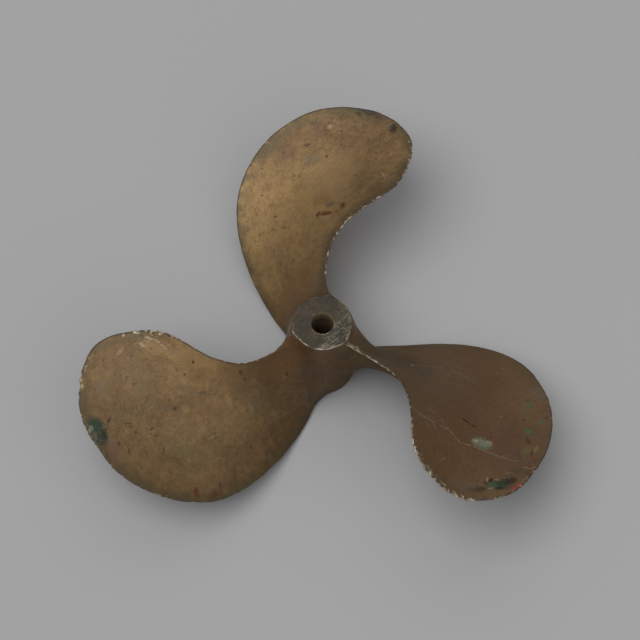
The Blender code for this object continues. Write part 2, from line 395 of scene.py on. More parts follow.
def bladeTree():
    # lifts the flat pattern onto the screw surface and gives it thickness, edges and root fillets
    tree = bpy.data.node_groups.new("blades_from_pattern", "GeometryNodeTree")
    sheet = Sheet(tree)
    newSocket = tree.interface.new_socket
    newSocket("Geometry", in_out="OUTPUT", socket_type="NodeSocketGeometry")
    newSocket("Pattern", in_out="INPUT", socket_type="NodeSocketGeometry")
    for name, value in bladeSizes.items():
        kind = "NodeSocketInt" if name == "Blade Count" else "NodeSocketFloat"
        newSocket(name, in_out="INPUT", socket_type=kind).default_value = value
    newSocket("Bronze", in_out="INPUT", socket_type="NodeSocketMaterial")
    node, calc, most, rise = sheet.node, sheet.calc, sheet.most, sheet.rise
    given = node("NodeGroupInput")

    def step(kind, values=None, output="Geometry", settings=None):
        return node("GeometryNode" + kind, settings, values)[output]

    def attribute(name):
        return step("InputNamedAttribute", {"Name": name}, "Attribute", {"data_type": "FLOAT"})

    def store(geometry, name, value):
        values, settings = {"Geometry": geometry, "Name": name, "Value": value}, {"data_type": "FLOAT"}
        return step("StoreNamedAttribute", values, settings={**settings, "domain": "POINT"})

    def curve(value, points):
        return node("ShaderNodeFloatCurve", {"curve": points}, {"Value": value})["Value"]

    # where each point of the pattern is
    position = step("InputPosition", output="Position")
    parts = node("ShaderNodeSeparateXYZ", None, {0: position})
    radiusNow = node("ShaderNodeVectorMath", {"operation": "LENGTH"}, {0: position})["Value"]
    pattern = store(given["Pattern"], "radius", radiusNow)
    pattern = store(pattern, "lag", calc("ARCTAN2", parts["Y"], parts["X"]))
    radius, lag, chord = attribute("radius"), attribute("lag"), attribute("chord")

    # the screw surface
    pitchScale, heightScale = bladeShape["pitchScale"], bladeShape["heightScale"]
    share = radius / given["Tip Radius"]
    rate = curve(share, sampled(pitchCurve, 0, 1, pitchScale)) * (pitchScale / (2 * math.pi))
    height = curve(share, sampled(heightCurve, 0, 1, heightScale)) * heightScale + rate * lag
    lean = calc("ARCTAN2", rate, radius)
    sine, cosine = calc("SINE", lean), calc("COSINE", lean)
    blade = given["First Blade Angle"] + attribute("bladeIndex") * (2 * math.pi) / given["Blade Count"]

    def hubAt(height):
        (low, high), scale = hubSizes["barrelSpan"], hubSizes["barrelScale"]
        return curve((height - low) / (high - low), sampled(hubCurve, low, high, scale)) * scale

    over = most(radius - hubAt(height), 0)  # how far out of the hub

    def place(depth, spread):
        clockwise = spread * cosine + depth * sine
        climb = spread * sine - depth * cosine
        turned = blade - lag - clockwise / radius
        along = (hubAt(height + climb) - hubAt(height)) * rise(over, bladeShape["filletRun"], 0)
        out = radius + along
        ends = {0: out * calc("COSINE", turned), 1: out * calc("SINE", turned), 2: height + climb}
        return node("ShaderNodeCombineXYZ", None, ends)["Vector"]

    def moved(geometry, where):
        return step("SetPosition", {"Geometry": geometry, "Position": where})

    nothing = radius * 0
    middle = moved(pattern, place(nothing, nothing))

    # how far every point is from the free edge
    neighbours = step("InputMeshEdgeNeighbors", output="Face Count")
    free = calc("LESS_THAN", neighbours, 1.5) * calc("LESS_THAN", attribute("rootRow"), 0.9)
    loop = step("MeshToCurve", {"Mesh": middle, "Selection": free}, "Curve")
    loop = step("CurveToMesh", {"Curve": loop}, "Mesh")
    distance = step("Proximity", {0: loop}, "Distance", {"target_element": "EDGES"})
    middle = store(middle, "edgeGap", distance)
    gap = attribute("edgeGap")

    # thickness, with a round nose at the free edge and nothing at the root row
    whole = 1 - attribute("rootRow")
    edge = given["Edge Thickness"]
    nose = edge / 2
    deepest = given["Root Thickness"] + (given["Tip Thickness"] - given["Root Thickness"]) * share
    crown = most(1 - chord * chord, 0) ** given["Section Fullness"]
    thickness = edge + (deepest - edge) * crown * rise(gap, 0, bladeShape["edgeRun"])
    short = most(nose - gap, 0)
    drop = nose - calc("SQRT", most(nose * nose - short * short, 0))

    # root fillets: a quarter round on each side, and a ridge along the trailing edge
    def flare(size):
        left = most(size - over, 0)
        quarter = size - calc("SQRT", most(size * size - left * left, 0))
        return calc("MINIMUM", quarter, size * bladeShape["flareLimit"])

    across = (chord + 1) * 0.5
    fillet = given["Fillet Radius"]
    swelled = fillet * (1 + given["Face Swell"] * calc("SINE", across * math.pi))
    backFlare = flare(fillet)
    faceFlare = flare(swelled) * (1 - across * (1 - given["Trailing Share"]))
    trailing = calc("GREATER_THAN", chord, 0)
    ridge = most(backFlare * given["Ridge Width"], nose)
    turn = most(1 - gap / (nose + (ridge - nose) * trailing), 0)
    fan = calc("SQRT", most(1 - turn * turn, 0))
    ridged = trailing * rise(backFlare, *bladeShape["ridgeRun"])  # the ridge rounds off at the hub
    lift = fan + (1 - turn - fan) * ridged
    trailingFlare = flare(fillet * given["Trailing Swell"])
    spread = (trailing * (trailingFlare + backFlare) - backFlare) * turn * whole
    face = moved(middle, place((drop - faceFlare * lift) * whole, spread))
    back = moved(middle, place((thickness - drop + backFlare * lift) * whole, spread))
    face = store(face, "drivingFace", nothing + 1)
    back = store(back, "drivingFace", nothing)
    back = step("FlipFaces", {0: back}, 0)

    joined = node("GeometryNodeJoinGeometry")
    for part in (face, back):
        tree.links.new(part.socket, joined.made.inputs[0])
    merged = step("MergeByDistance", {"Geometry": joined[0], "Distance": bladeShape["weld"]})
    real = step("RealizeInstances", {"Geometry": merged})
    done = step("SetMaterial", {"Geometry": real, "Material": given["Bronze"]})
    result = node("NodeGroupOutput")
    tree.links.new(done.socket, result.made.inputs[0])
    return tree


def evaluated(thing):
    # the object's mesh with its modifiers applied
    bpy.context.view_layer.update()
    graph = bpy.context.evaluated_depsgraph_get()
    final = thing.evaluated_get(graph)
    return bpy.data.meshes.new_from_object(final, preserve_all_data_layers=True, depsgraph=graph)


def newObject(name, data):
    made = bpy.data.objects.new(name, data)
    bpy.context.scene.collection.objects.link(made)
    return made


def meshFrom(data, name):
    mesh = bpy.data.meshes.new(name)
    data.to_mesh(mesh)
    data.free()
    return mesh


def makeBlades(material):
    carrier = newObject("blades", patternMesh())
    modifier = carrier.modifiers.new("blades_from_pattern", "NODES")
    modifier.node_group = bladeTree()
    given = {**bladeSizes, "Bronze": material}
    for item in modifier.node_group.interface.items_tree:
        if item.item_type == "SOCKET" and item.in_out == "INPUT" and item.name in given:
            modifier[item.identifier] = given[item.name]
    mesh = evaluated(carrier)
    carrier.modifiers.clear()
    bpy.data.objects.remove(carrier)
    print("blades:", len(mesh.vertices), "points")
    return mesh


def oneBlade(mesh, index):
    # a copy of the mesh that keeps only this blade
    data = bmesh.new()
    data.from_mesh(mesh)
    layer = data.verts.layers.float["bladeIndex"]
    others = [v for v in data.verts if abs(v[layer] - index) > 0.5]
    bmesh.ops.delete(data, geom=others, context="VERTS")
    bmesh.ops.recalc_face_normals(data, faces=data.faces)
    name = f"blade_{index + 1}"
    return newObject(name, meshFrom(data, name))


def newRing(data, radius, height):
    turns = [2 * math.pi * i / hubSizes["steps"] for i in range(hubSizes["steps"])]
    return [data.verts.new((radius * math.cos(a), radius * math.sin(a), height)) for a in turns]


def bandFaces(data, below, above):
    for i in range(len(below)):
        j = (i + 1) % len(below)
        data.faces.new((below[i], below[j], above[j], above[i]))


def hubBlank():
    # the solid barrel, with stock at both ends
    data = bmesh.new()
    stock = hubSizes["stock"]
    heights = np.linspace(-stock, hubSizes["length"] + stock, hubSizes["rings"])
    rings = [newRing(data, float(hubCurve(height)), height) for height in heights]
    for ring, above in zip(rings, rings[1:]):
        bandFaces(data, ring, above)
    data.faces.new(rings[0])
    data.faces.new(rings[-1])
    bmesh.ops.recalc_face_normals(data, faces=data.faces)
    return newObject("hub_blank", meshFrom(data, "hub_blank"))


def joinBlades(hub, bladeMesh):
    for index in range(bladeSizes["Blade Count"]):
        part = oneBlade(bladeMesh, index)
        modifier = hub.modifiers.new("join", "BOOLEAN")
        modifier.operation, modifier.solver, modifier.object = "UNION", "EXACT", part
        mesh = evaluated(hub)
        hub.modifiers.clear()
        hub.data = mesh
        bpy.data.objects.remove(part)
    print("blades joined to the hub:", len(hub.data.vertices), "points")


def nearest(points):
    tree = KDTree(len(points))
    for i, point in enumerate(points):
        tree.insert(point, i)
    tree.balance()
    return tree


def fromAxis(vertex):
    return math.hypot(vertex.co.x, vertex.co.y)


def softenSeam(data):
    # evens out the lines where the fillets run into the hub and into each other
    low, high = seamWork["endMargin"], hubSizes["length"] - seamWork["endMargin"]
    near = [v for v in data.verts if low < v.co.z < high and fromAxis(v) < seamWork["reach"]]
    seam = set()
    for vertex in near:
        for edge in vertex.link_edges:
            if len(edge.link_faces) == 2 and edge.calc_face_angle(0) > seamWork["crease"]:
                if all(low < v.co.z < high for v in edge.verts):
                    seam.update(edge.verts)
    seamTree = nearest([v.co for v in seam])
    for _ in range(seamWork["rounds"]):
        moves = {}
        for vertex in near:
            weight = 1 - seamTree.find(vertex.co)[2] / seamWork["width"]
            if weight > 0 and low < vertex.co.z < high:
                around = [e.other_vert(vertex).co for e in vertex.link_edges]
                moves[vertex] = (sum(around, Vector()) / len(around) - vertex.co) * 0.5 * weight
        for vertex, move in moves.items():
            vertex.co += move


def cutLevel(data, height, upwards, clear):
    # cuts the hub across at this height, and nothing further out
    reach = hubSizes["reach"]
    inside = [v for v in data.verts if fromAxis(v) < reach]
    faces = {f for v in inside for f in v.link_faces if all(fromAxis(w) < reach for w in f.verts)}
    edges = {e for f in faces for e in f.edges}
    verts = {v for f in faces for v in f.verts}
    bmesh.ops.bisect_plane(
        data,
        geom=[*verts, *edges, *faces],
        dist=1e-7,
        plane_co=(0, 0, height),
        plane_no=(0, 0, 1 if upwards else -1),
        clear_outer=clear,
    )


def faceEnd(data, end, upwards):
    # the lathe's work on one end: a flat cut with a worn rim; gives the edges round the cut
    rim, touch, sign = hubSizes["rimRound"], 1e-5, 1 if upwards else -1
    for part in hubSizes["rimSteps"]:
        cutLevel(data, end - sign * rim * part, upwards, False)
    cutLevel(data, end, upwards, True)
    data.normal_update()
    moves = {}
    for vertex in data.verts:
        under = sign * (end - vertex.co.z)
        if fromAxis(vertex) < hubSizes["reach"] and -touch < under < rim:
            outward = Vector((vertex.normal.x, vertex.normal.y, 0))
            outward = outward.normalized() if outward.length > 1e-4 else Vector((0, 0, 0))
            moves[vertex] = outward * rim * (1 - math.sqrt(max(1 - (1 - under / rim) ** 2, 0)))
    for vertex, move in moves.items():
        vertex.co -= move
    return [e for e in data.edges if e.is_boundary and abs(e.verts[0].co.z - end) < touch]


def widened(data, loop, width):
    # a level band of faces beside the loop, inwards where the width is below 0; gives its far edges
    moved, far = {}, []
    for edge in loop:
        for vertex in edge.verts:
            if vertex not in moved:
                scale = 1 + width / fromAxis(vertex)
                moved[vertex] = data.verts.new((vertex.co.x * scale, vertex.co.y * scale, vertex.co.z))
        first, second = edge.verts
        data.faces.new((first, second, moved[second], moved[first]))
        far.append(data.edges.get((moved[first], moved[second])))
    return far


def cutBore(data, rims):
    # the taper bore with chamfered mouths, and the flat ends between it and the rims
    length, chamfer = hubSizes["length"], hubSizes["boreChamfer"]
    heights = [length, length - chamfer * 0.4]
    heights += [*np.linspace(length - chamfer, chamfer, hubSizes["boreRings"]), chamfer * 0.4, 0.0]
    rings = []
    for height in heights:
        radius = hubSizes["boreAftRadius"] + (length - height) * hubSizes["boreTaper"] / 2
        rings.append(newRing(data, radius + max(0, chamfer - min(height, length - height)), height))
    for ring, below in zip(rings, rings[1:]):
        bandFaces(data, below, ring)
    for rim, ring in zip(rims, (rings[0], rings[-1])):
        mouth = [data.edges.get(ends) for ends in zip(ring, ring[1:] + ring[:1])]
        for edge in rim + mouth:
            edge.smooth = False  # the cut faces stay flat
        for width in hubSizes["faceBands"]:
            rim, mouth = widened(data, rim, -width), widened(data, mouth, width)
        bmesh.ops.triangle_fill(data, use_beauty=True, use_dissolve=False, edges=rim + mouth)


def finishMesh(hub, bladeMesh):
    data = bmesh.new()
    data.from_mesh(hub.data)
    bmesh.ops.remove_doubles(data, verts=data.verts, dist=1e-6)
    softenSeam(data)
    cutBore(data, [faceEnd(data, hubSizes["length"], True), faceEnd(data, 0.0, False)])
    openEdges = [e for e in data.edges if len(e.link_faces) != 2]
    print("hub faced and bored, edges that aren't between two faces:", len(openEdges))
    bmesh.ops.recalc_face_normals(data, faces=data.faces)
    for face in data.faces:
        face.smooth = True
    rims = [edge.verts[0].co.copy() for edge in data.edges if not edge.smooth]
    mesh = meshFrom(data, "worn_propeller")
    keepFields(mesh, bladeMesh, rims)
    return mesh


finish = {
    # tones as they read on the object, red green blue out of 255
    "tones": {
        "golden": (158, 127, 83), "bronze": (132, 105, 69), "brown": (103, 79, 50),
        "umber": (72, 54, 36), "greenish": (104, 94, 60), "olive": (78, 71, 48),
        "redBrown": (106, 77, 54), "amber": (120, 86, 44), "bare": (204, 188, 162),
        "hubFace": (51, 45, 31), "hubStreak": (142, 139, 120), "bore": (126, 110, 86),
        "black": (42, 33, 23), "darkGreen": (48, 60, 47), "verdigris": (66, 98, 74),
        "paleGreen": (126, 134, 112), "rust": (100, 56, 32), "red": (140, 58, 42),
        "greyFilm": (98, 92, 80), "pink": (126, 92, 74), "plug": (166, 136, 94),
    },
    "ground": ((0.0, "umber"), (0.34, "brown"), (0.62, "bronze"), (0.95, "golden")),
    "metallic": 0.55,
    "roughness": 0.47,
    # noises: features to the metre, detail, roughness
    "clouds": {
        "large": (11, 3, 0.6), "medium": (38, 4, 0.65), "small": (170, 3, 0.7), "grain": (620, 1, 0.55),
        "patches": (26, 3, 0.6), "film": (66, 3, 0.6), "flakes": (270, 3, 0.65), "veins": (120, 2, 0.6),
        "edges": (240, 2, 0.6),
    },
    # pits: cells to the metre, size in cells, share of the cells
    "pits": (95, 0.20, 0.75),
    "specks": (230, 0.28, 0.40),
    # scratches: direction in degrees, number to the metre, length against width
    "scratches": ((35, 420, 9), (-62, 380, 7)),
    "hubScratches": ((52, 620, 4), (28, 700, 5), (38, 230, 4)),
    # depths and heights in metres
    "relief": {
        "medium": 0.0010, "small": 0.00022, "grain": 0.00006,
        "pits": 0.00018, "specks": 0.00008, "scratches": 0.00004, "cuts": 0.00012, "hubScratches": 0.00006,
    },
}
marks = {
    # on the driving faces: middle x, y, half length, half width in mm, turn in degrees, tone, strength
    "spots": (
        # first blade
        (-14.7, 230.2, 4.4, 3.8, 0, "umber", 0.4), (-14.5, 229.4, 3.2, 2.8, 0, "plug", 0.6),
        (16, 247, 16, 4, -8, "olive", 0.9), (24, 244, 11, 3.2, -14, "black", 0.55),
        (14, 242, 4, 2.4, -30, "black", 0.6), (34, 238, 7, 2.6, -24, "umber", 0.6),
        (-8, 178, 30, 24, 20, "plug", 0.48), (24, 214, 28, 20, -10, "redBrown", 0.22),
        (50.4, 225.5, 3.8, 6.2, 24, "black", 0.85), (57, 219, 2, 6, 30, "greenish", 0.6),
        (-35.6, 210.9, 3.6, 1.7, 16, "umber", 0.85), (-32, 212, 1.6, 1, 30, "rust", 0.7),
        (-15.2, 197.4, 1.7, 1.5, 0, "umber", 0.9), (-28.2, 194.7, 9, 6, 30, "greyFilm", 0.4),
        (-61, 204, 1.6, 1.4, 0, "umber", 0.8), (-66, 216, 4, 20, -42, "olive", 0.25),
        (-82, 190, 3, 16, -22, "olive", 0.2), (-46, 231, 12, 3, 30, "olive", 0.3),
        (-9.6, 130.3, 8, 2.6, -8, "rust", 0.9), (-17, 131.5, 2.2, 3.4, 0, "rust", 0.9),
        (6.9, 135.4, 3.4, 3.8, 20, "rust", 0.8), (7.5, 136, 1.6, 1.6, 0, "umber", 0.9),
        (-4.6, 140.8, 5.5, 2.6, 20, "greyFilm", 0.7), (-61.5, 138.2, 2.4, 1, -10, "umber", 0.7),
        (22, 156, 3, 7, 20, "greenish", 0.55), (-41, 178, 1.3, 1.3, 0, "umber", 0.7),
        (17, 172, 1.6, 1, 0, "umber", 0.8), (38, 150, 14, 6, 35, "brown", 0.5),
        (-36, 60, 26, 20, 70, "amber", 0.45), (-22, 76, 14, 10, 70, "amber", 0.35),
        # second blade
        (-208, -121, 9.5, 8.5, 10, "darkGreen", 0.95), (-201, -131, 6, 9.5, 20, "darkGreen", 0.9),
        (-199, -128, 4, 6, 20, "black", 0.7), (-212, -124, 2.4, 3, 15, "paleGreen", 0.6),
        (-207, -131, 1.6, 4, 25, "greyFilm", 0.8), (-192, -134, 2.4, 9, 6, "greyFilm", 0.6),
        (-186, -142, 9, 14, 30, "pink", 0.3), (-206, -110, 6, 1.6, 0, "pink", 0.5),
        (-74.9, -51.6, 2.4, 1.7, -30, "black", 0.85), (-70.8, -55.5, 1.5, 1.5, 0, "umber", 0.8),
        (-128, -62, 1.5, 1.2, 0, "black", 0.7), (-190, -70, 1.4, 1.4, 0, "umber", 0.8),
        (-206, -84, 6, 10, 10, "greyFilm", 0.35), (-135, -92.5, 2.6, 1.8, 0, "umber", 0.8),
        (-124.5, -91, 4.6, 4, 0, "plug", 0.3), (-131, -78, 3.4, 2.6, 0, "plug", 0.25),
        (-106, -68, 6.5, 2, -80, "plug", 0.3), (-85.5, -72, 10, 3.4, -66, "plug", 0.42),
        (-63, -76, 6, 1.6, -52, "hubStreak", 0.3), (-129, -68, 4.5, 1.8, -40, "plug", 0.4),
        (-166, -34, 4.5, 1.4, -18, "bare", 0.34), (-158, -36, 4, 1.2, -25, "bare", 0.3),
        (-150, -41, 5.5, 1.5, -28, "bare", 0.22), (-172, -40, 5, 1.6, -32, "bare", 0.25),
        (-160, -42, 16, 6, -20, "plug", 0.35), (-117, -38.5, 20, 1.8, -27, "hubStreak", 0.35),
        (-138, -50, 14, 4, -30, "plug", 0.35), (-141, -45, 5, 1.2, -30, "hubStreak", 0.35),
        (-193, -48, 5, 1.6, 55, "plug", 0.35), (-141.5, -132.3, 1.3, 5, 8, "umber", 0.6),
        (-106.6, -165, 2.4, 5, 5, "rust", 0.85), (-88.5, -163, 3, 2.6, 0, "rust", 0.8),
        (-85, -152, 1.2, 4, 0, "umber", 0.6), (-184, -134, 2, 3, 10, "umber", 0.7),
        (-174, -139, 1.8, 3.6, 20, "umber", 0.7), (-196, -114, 1.6, 2.2, 0, "black", 0.8),
        (-179, -113, 3, 0.9, 10, "umber", 0.7), (-170, -120, 1.6, 1.4, 20, "umber", 0.8),
        (-150, -120, 1.2, 1, 0, "umber", 0.8), (-134, -91, 3.4, 1.6, 30, "darkGreen", 0.6),
        (-110, -75, 4.6, 1.4, 24, "darkGreen", 0.5), (-121, -51, 1.4, 1.8, 20, "black", 0.8),
        (-141, -86, 2, 1.2, -30, "umber", 0.7), (-155, -114, 2.2, 1.2, 40, "black", 0.7),
        (-31, -41, 1.5, 1.5, 0, "black", 0.7), (-8, -48, 1.6, 1.6, 0, "umber", 0.8),
        (-40, -28, 30, 18, 24, "amber", 0.5), (-42, -26, 26, 14, 24, "redBrown", 0.45),
        (-78, -56, 24, 18, 40, "brown", 0.5), (-18, -16, 4.5, 6.5, 0, "rust", 0.35),
        (-8, -38, 12, 8, -40, "umber", 0.3),
        # third blade
        (66, -6, 30, 18, -6, "umber", 0.55), (88, -18, 30, 14, -14, "olive", 0.4),
        (176, -34, 24, 18, -30, "brown", 0.35), (91, -14.7, 1.3, 0.8, -20, "bare", 0.9),
        (164.7, -101.3, 9.5, 6.2, -14, "paleGreen", 0.75), (158, -99, 3.4, 2.4, 0, "hubStreak", 0.8),
        (171, -99, 3, 2.4, 0, "hubStreak", 0.7), (166, -106, 5, 2.2, 0, "verdigris", 0.5),
        (209.1, -49.3, 4.2, 3.6, 0, "verdigris", 0.6), (206, -58, 8, 13, 0, "greenish", 0.4),
        (208.4, -81.1, 3.8, 3.4, 0, "verdigris", 0.8), (220.4, -69.1, 2.4, 2.4, 0, "verdigris", 0.8),
        (216, -34, 10, 8, -50, "greyFilm", 0.5), (204, -68, 1.6, 1, -30, "black", 0.8),
        (183, -145, 15, 6, 6, "umber", 0.9), (186, -143, 9, 4.6, 10, "darkGreen", 0.85),
        (177, -147, 5, 4.4, 30, "verdigris", 0.5), (194, -140, 7, 3.6, 30, "black", 0.8),
        (175, -141, 3, 2, 50, "black", 0.8), (166, -152, 6, 3.2, 10, "black", 0.6),
        (184, -149, 6, 1.8, 10, "black", 0.7), (172, -141, 1.2, 2.2, 0, "hubStreak", 0.7),
        (181, -140, 2.6, 1, 0, "hubStreak", 0.5), (176, -150, 3, 0.9, 20, "hubStreak", 0.5),
        (160, -154, 9, 3.4, -6, "umber", 0.7), (200.5, -144.5, 8, 1.7, 40, "red", 0.75),
        (209, -92, 1.5, 4.4, 24, "black", 0.7), (213, -106, 1.6, 4.2, -16, "umber", 0.8),
        (217, -115, 3, 1.3, 30, "umber", 0.8), (202, -109, 2.6, 5.4, 20, "darkGreen", 0.55),
        (217, -101, 2.2, 4.6, -20, "bronze", 0.6), (212, -128, 6, 4, 60, "umber", 0.6),
        (214, -112, 2.8, 2.8, 0, "rust", 0.6), (213, -122, 2.8, 2.6, 0, "rust", 0.6),
        (207, -105, 5, 7, -30, "greenish", 0.5), (200, -128, 7, 5, 0, "darkGreen", 0.4),
        (172, -92, 1.4, 1.4, 0, "umber", 0.8), (150, -150, 16, 6, 0, "greyFilm", 0.3),
    ),
    # scratches and cuts, and pale broad strokes on the third blade's root that are painted highlights:
    # points x, y in mm, half width in mm, tone, strength
    "strokes": (
        (
            ((92, -77), (102.8, -85.2), (117.4, -89.6), (131.9, -93.5), (143.4, -105.1), (154.2, -105.9)),
            0.4, "bare", 0.32,
        ),
        (((154.2, -105.9), (186.3, -114.5), (200.3, -117.3)), 0.35, "bare", 0.26),
        (((110, -74.1), (121.3, -81.3), (131.9, -93.5)), 0.35, "bare", 0.24),
        (((144.7, -76.5), (157.9, -83.7)), 0.75, "black", 0.85),
        # painted highlights: pale broad strokes on the third blade's root
        (((95, -13.5), (122, -10)), 1.1, "hubStreak", 0.16),
        (((121, -21), (130, -24), (127, -18), (135, -14), (150, -25)), 0.5, "hubStreak", 0.3),
        (((138, -13), (155, -27)), 0.5, "hubStreak", 0.25),
        (((-144, -92), (-132, -88), (-124, -84)), 0.5, "umber", 0.35),
        (((206, -108), (212, -116), (211, -124)), 0.4, "black", 0.5),
        (((206, -122), (212, -124), (219, -120)), 0.35, "bare", 0.2),
        (((186, -132), (196, -130)), 0.4, "bare", 0.25),
        (((-30, 205), (-20, 208), (-14, 200)), 0.5, "umber", 0.4),
        (((44, 171), (47, 163)), 0.5, "bare", 0.4),
        (((16, 150), (30, 160)), 0.5, "umber", 0.4),
    ),
    # where the edges are chipped bright: x, y and reach in mm, strength
    "chipped": (
        (52, 192, 34, 0.9), (22, 150, 32, 0.9), (10, 106, 30, 0.8), (10, 76, 22, 0.6),
        (-58, 210, 40, 0.35), (-165, -30, 30, 1), (-228, -80, 30, 0.8), (-205, -130, 30, 0.5),
        (-45, -9, 30, 0.5), (55, -14, 34, 1.1), (33, -20, 12, 1.7), (112, -122, 42, 1.2),
        (138, -158, 34, 0.9), (205, -140, 30, 0.5),
    ),
    # broad parts made lighter, or below 0 darker, partly by rubbed wear and tarnish and partly by painted
    # light and shade: x, y and reach in mm, amount
    "rubbed": (
        (-65, 206, 46, -0.48), (-32, 232, 26, -0.16), (-24, 158, 56, 0.17), (-60, 116, 36, 0.10),
        (-122, -44, 42, 0.34), (-84, -58, 34, 0.24), (-112, -68, 50, 0.11), (-195, -46, 32, -0.12),
        (-55, -88, 40, 0.08), (-146, -118, 50, -0.08), (206, -104, 54, -0.36), (104, -96, 48, 0.12),
        (136, -26, 36, 0.10),
    ),
    "spotClearance": 7.0,  # mm between two marks of one layer
    "strokeClearance": 8.0,
    "fieldReach": 3.5,  # mm round each mark that its layer covers
}


def flatPlaces(mesh):
    # x and y in mm
    return readPlaces(mesh)[:, :2] * 1000


def offShare(places, x, y, reach):
    return np.hypot(places[:, 0] - x, places[:, 1] - y) / reach


def keepFields(mesh, bladeMesh, rims):
    # how far each point is from a free edge and from a rim, whether it is on a driving face, and its wear
    # with painted light and shade
    for name in ("edgeGap", "drivingFace", "chord", "bladeIndex", "rootRow", "radius", "lag"):
        if name in mesh.attributes:
            mesh.attributes.remove(mesh.attributes[name])  # what the union left of it
    gaps, faces = readField(bladeMesh, "edgeGap"), readField(bladeMesh, "drivingFace")
    pointTree, rimTree = nearest(readPlaces(bladeMesh)), nearest(rims)
    edgeGap, drivingFace, rimGap = [], [], []
    for vertex in mesh.vertices:
        _, index, distance = pointTree.find(vertex.co)
        edgeGap.append(gaps[index] + distance)
        drivingFace.append(float(faces[index]) if distance < 0.003 else 0.0)
        rimGap.append(rimTree.find(vertex.co)[2])
    places = flatPlaces(mesh)
    chips, wearAndShade = np.zeros(len(places)), np.zeros(len(places))
    for x, y, reach, strength in marks["chipped"]:
        chips = np.maximum(chips, strength * np.clip(1.3 - offShare(places, x, y, reach), 0, 1))
    for x, y, reach, amount in marks["rubbed"]:
        wearAndShade += amount * np.clip(1 - offShare(places, x, y, reach) ** 2, 0, 1) ** 1.5
    writeField(mesh, "edgeGap", edgeGap)
    writeField(mesh, "drivingFace", drivingFace)
    writeField(mesh, "rimGap", rimGap)
    writeField(mesh, "edgeChips", chips)
    writeField(mesh, "rubbed", wearAndShade)


def tone(name):
    # the linear colour of a named tone
    channels = [c / 255 for c in finish["tones"][name]]
    return (*[c / 12.92 if c <= 0.04045 else ((c + 0.055) / 1.055) ** 2.4 for c in channels], 1.0)


